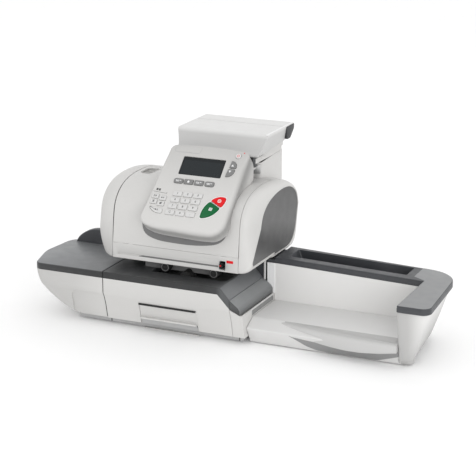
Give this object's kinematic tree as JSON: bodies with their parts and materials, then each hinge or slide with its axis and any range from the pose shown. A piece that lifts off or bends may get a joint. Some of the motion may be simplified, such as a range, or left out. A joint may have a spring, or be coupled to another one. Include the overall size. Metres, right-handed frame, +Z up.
{
  "type": "franking machine",
  "caption": "Tabletop franking machine with feeder tray, dark mail deck, overhanging printing head, sloping keypad panel with display and a weighing platform on top.",
  "frame": {"origin": "middle of the footprint's bounding box, on the table under the rubber feet", "axes": "+X along the mail path from the exit tray towards the feeder, +Y from the keypad side to the back, +Z up"},
  "size_m": [0.7638, 0.303, 0.3385],
  "materials": {
    "light_casing": "fine textured moulded plastic, warm light grey",
    "tray_light": "smooth moulded plastic, off-white",
    "platter_light": "satin moulded plastic, off-white",
    "dark_deck": "fine textured moulded plastic, charcoal",
    "side_grey": "satin moulded plastic, mid grey",
    "plinth_grey": "matt moulded plastic, mid grey",
    "black_plastic": "matt black plastic",
    "rubber": "matt black rubber",
    "steel": "bright zinc plate",
    "circuit_board": "green solder mask",
    "display_glass": "dark polished window",
    "key_light": "off-white key cap",
    "key_grey": "grey key cap",
    "key_red": "red key cap",
    "key_green": "green key cap"
  },
  "bodies": {
    "chassis": {"exit_casing": "light_casing", "exit_deck": "dark_deck", "rear_fence": "dark_deck", "base_deck": "dark_deck", "base_casing": "light_casing", "floor_pan": "plinth_grey", "rubber_feet": "rubber", "screws": "steel", "transport_hood": "dark_deck", "sealer_casing": "light_casing", "feeder_casing": "light_casing", "feeder_trim": "dark_deck", "feeder_tray": "tray_light", "head_left_cap": "light_casing", "head_right_cap": "light_casing", "side_panel": "side_grey", "head_frame": "light_casing", "ink_cartridge": "black_plastic", "drive_motor": "steel", "power_inlet": "black_plastic", "scale_stand": "light_casing", "scale_base": "black_plastic"},
    "cover": {"top_cover": "light_casing", "panel_collar": "plinth_grey", "panel_shell": "light_casing", "display_window": "display_glass", "main_board": "circuit_board"},
    "drawer": {"drawer": "light_casing"},
    "platter": {"scale_platter": "platter_light"},
    "lever": {"jam_lever": "black_plastic"},
    "pinch_left": {"pinch_roller_left": "rubber"},
    "pinch_right": {"pinch_roller_right": "rubber"},
    "drive_roller": {"drive_shaft": "rubber"},
    "feed_roller": {"feed_roller": "rubber"},
    "key_1": {"key_1": "key_light"},
    "key_2": {"key_2": "key_light"},
    "key_3": {"key_3": "key_light"},
    "key_4": {"key_4": "key_light"},
    "key_5": {"key_5": "key_light"},
    "key_6": {"key_6": "key_light"},
    "key_7": {"key_7": "key_light"},
    "key_8": {"key_8": "key_light"},
    "key_9": {"key_9": "key_light"},
    "key_clear": {"key_clear": "key_light"},
    "key_0": {"key_0": "key_light"},
    "key_point": {"key_point": "key_light"},
    "menu_key_1": {"menu_key_1": "key_grey"},
    "menu_key_2": {"menu_key_2": "key_grey"},
    "menu_key_3": {"menu_key_3": "key_grey"},
    "menu_key_4": {"menu_key_4": "key_grey"},
    "shortcut_key_1": {"shortcut_key_1": "key_light"},
    "shortcut_key_2": {"shortcut_key_2": "key_light"},
    "shortcut_key_3": {"shortcut_key_3": "key_light"},
    "shortcut_key_4": {"shortcut_key_4": "key_light"},
    "shortcut_key_5": {"shortcut_key_5": "key_light"},
    "up_key": {"up_key": "key_grey"},
    "down_key": {"down_key": "key_grey"},
    "stop_key": {"stop_key": "key_red"},
    "start_key": {"start_key": "key_green"},
    "power_key": {"power_key": "key_light"}
  },
  "joints": [
    {"name": "cover_hinge", "type": "hinge", "parent": "chassis", "child": "cover", "pos_m": [-0.09973, -0.1102, 0.1502], "axis": [1, 0, 0], "range_deg": [0, 50]},
    {"name": "drawer_slide", "type": "slide", "parent": "chassis", "child": "drawer", "axis": [0, -1, 0], "range_m": [0, 0.095]},
    {"name": "platter_press", "type": "slide", "parent": "chassis", "child": "platter", "axis": [0, 0, -1], "range_m": [0, 0.001], "stiffness_N_per_m": 20000},
    {"name": "lever_turn", "type": "hinge", "parent": "chassis", "child": "lever", "pos_m": [-0.00698, -0.1075, 0.1335], "axis": [1, 0, 0], "range_deg": [0, 20]},
    {"name": "pinch_left_spin", "type": "hinge", "parent": "chassis", "child": "pinch_left", "pos_m": [-0.12098, -0.1015, 0.1135], "axis": [0, 1, 0], "continuous": true},
    {"name": "pinch_right_spin", "type": "hinge", "parent": "chassis", "child": "pinch_right", "pos_m": [-0.02598, -0.1015, 0.1135], "axis": [0, 1, 0], "continuous": true},
    {"name": "drive_spin", "type": "hinge", "parent": "chassis", "child": "drive_roller", "pos_m": [-0.08098, -0.0515, 0.098], "axis": [0, 1, 0], "continuous": true},
    {"name": "feed_spin", "type": "hinge", "parent": "chassis", "child": "feed_roller", "pos_m": [0.03602, -0.0555, 0.0385], "axis": [0, 1, 0], "continuous": true},
    {"name": "key_1_press", "type": "slide", "parent": "cover", "child": "key_1", "axis": [0, 0.7071, -0.7071], "range_m": [0, 0.0012], "stiffness_N_per_m": 300},
    {"name": "key_2_press", "type": "slide", "parent": "cover", "child": "key_2", "axis": [0, 0.7071, -0.7071], "range_m": [0, 0.0012], "stiffness_N_per_m": 300},
    {"name": "key_3_press", "type": "slide", "parent": "cover", "child": "key_3", "axis": [0, 0.7071, -0.7071], "range_m": [0, 0.0012], "stiffness_N_per_m": 300},
    {"name": "key_4_press", "type": "slide", "parent": "cover", "child": "key_4", "axis": [0, 0.7071, -0.7071], "range_m": [0, 0.0012], "stiffness_N_per_m": 300},
    {"name": "key_5_press", "type": "slide", "parent": "cover", "child": "key_5", "axis": [0, 0.7071, -0.7071], "range_m": [0, 0.0012], "stiffness_N_per_m": 300},
    {"name": "key_6_press", "type": "slide", "parent": "cover", "child": "key_6", "axis": [0, 0.7071, -0.7071], "range_m": [0, 0.0012], "stiffness_N_per_m": 300},
    {"name": "key_7_press", "type": "slide", "parent": "cover", "child": "key_7", "axis": [0, 0.7071, -0.7071], "range_m": [0, 0.0012], "stiffness_N_per_m": 300},
    {"name": "key_8_press", "type": "slide", "parent": "cover", "child": "key_8", "axis": [0, 0.7071, -0.7071], "range_m": [0, 0.0012], "stiffness_N_per_m": 300},
    {"name": "key_9_press", "type": "slide", "parent": "cover", "child": "key_9", "axis": [0, 0.7071, -0.7071], "range_m": [0, 0.0012], "stiffness_N_per_m": 300},
    {"name": "key_clear_press", "type": "slide", "parent": "cover", "child": "key_clear", "axis": [0, 0.7071, -0.7071], "range_m": [0, 0.0012], "stiffness_N_per_m": 300},
    {"name": "key_0_press", "type": "slide", "parent": "cover", "child": "key_0", "axis": [0, 0.7071, -0.7071], "range_m": [0, 0.0012], "stiffness_N_per_m": 300},
    {"name": "key_point_press", "type": "slide", "parent": "cover", "child": "key_point", "axis": [0, 0.7071, -0.7071], "range_m": [0, 0.0012], "stiffness_N_per_m": 300},
    {"name": "menu_key_1_press", "type": "slide", "parent": "cover", "child": "menu_key_1", "axis": [0, 0.7071, -0.7071], "range_m": [0, 0.0012], "stiffness_N_per_m": 300},
    {"name": "menu_key_2_press", "type": "slide", "parent": "cover", "child": "menu_key_2", "axis": [0, 0.7071, -0.7071], "range_m": [0, 0.0012], "stiffness_N_per_m": 300},
    {"name": "menu_key_3_press", "type": "slide", "parent": "cover", "child": "menu_key_3", "axis": [0, 0.7071, -0.7071], "range_m": [0, 0.0012], "stiffness_N_per_m": 300},
    {"name": "menu_key_4_press", "type": "slide", "parent": "cover", "child": "menu_key_4", "axis": [0, 0.7071, -0.7071], "range_m": [0, 0.0012], "stiffness_N_per_m": 300},
    {"name": "shortcut_key_1_press", "type": "slide", "parent": "cover", "child": "shortcut_key_1", "axis": [0, 0.7071, -0.7071], "range_m": [0, 0.0012], "stiffness_N_per_m": 300},
    {"name": "shortcut_key_2_press", "type": "slide", "parent": "cover", "child": "shortcut_key_2", "axis": [0, 0.7071, -0.7071], "range_m": [0, 0.0012], "stiffness_N_per_m": 300},
    {"name": "shortcut_key_3_press", "type": "slide", "parent": "cover", "child": "shortcut_key_3", "axis": [0, 0.7071, -0.7071], "range_m": [0, 0.0012], "stiffness_N_per_m": 300},
    {"name": "shortcut_key_4_press", "type": "slide", "parent": "cover", "child": "shortcut_key_4", "axis": [0, 0.7071, -0.7071], "range_m": [0, 0.0012], "stiffness_N_per_m": 300},
    {"name": "shortcut_key_5_press", "type": "slide", "parent": "cover", "child": "shortcut_key_5", "axis": [0, 0.7071, -0.7071], "range_m": [0, 0.0012], "stiffness_N_per_m": 300},
    {"name": "up_key_press", "type": "slide", "parent": "cover", "child": "up_key", "axis": [0, 0.7071, -0.7071], "range_m": [0, 0.0012], "stiffness_N_per_m": 300},
    {"name": "down_key_press", "type": "slide", "parent": "cover", "child": "down_key", "axis": [0, 0.7071, -0.7071], "range_m": [0, 0.0012], "stiffness_N_per_m": 300},
    {"name": "stop_key_press", "type": "slide", "parent": "cover", "child": "stop_key", "axis": [0, 0.7071, -0.7071], "range_m": [0, 0.0012], "stiffness_N_per_m": 300},
    {"name": "start_key_press", "type": "slide", "parent": "cover", "child": "start_key", "axis": [0, 0.7071, -0.7071], "range_m": [0, 0.0012], "stiffness_N_per_m": 300},
    {"name": "power_key_press", "type": "slide", "parent": "cover", "child": "power_key", "axis": [0, 0.7071, -0.7071], "range_m": [0, 0.0012], "stiffness_N_per_m": 300}
  ]
}
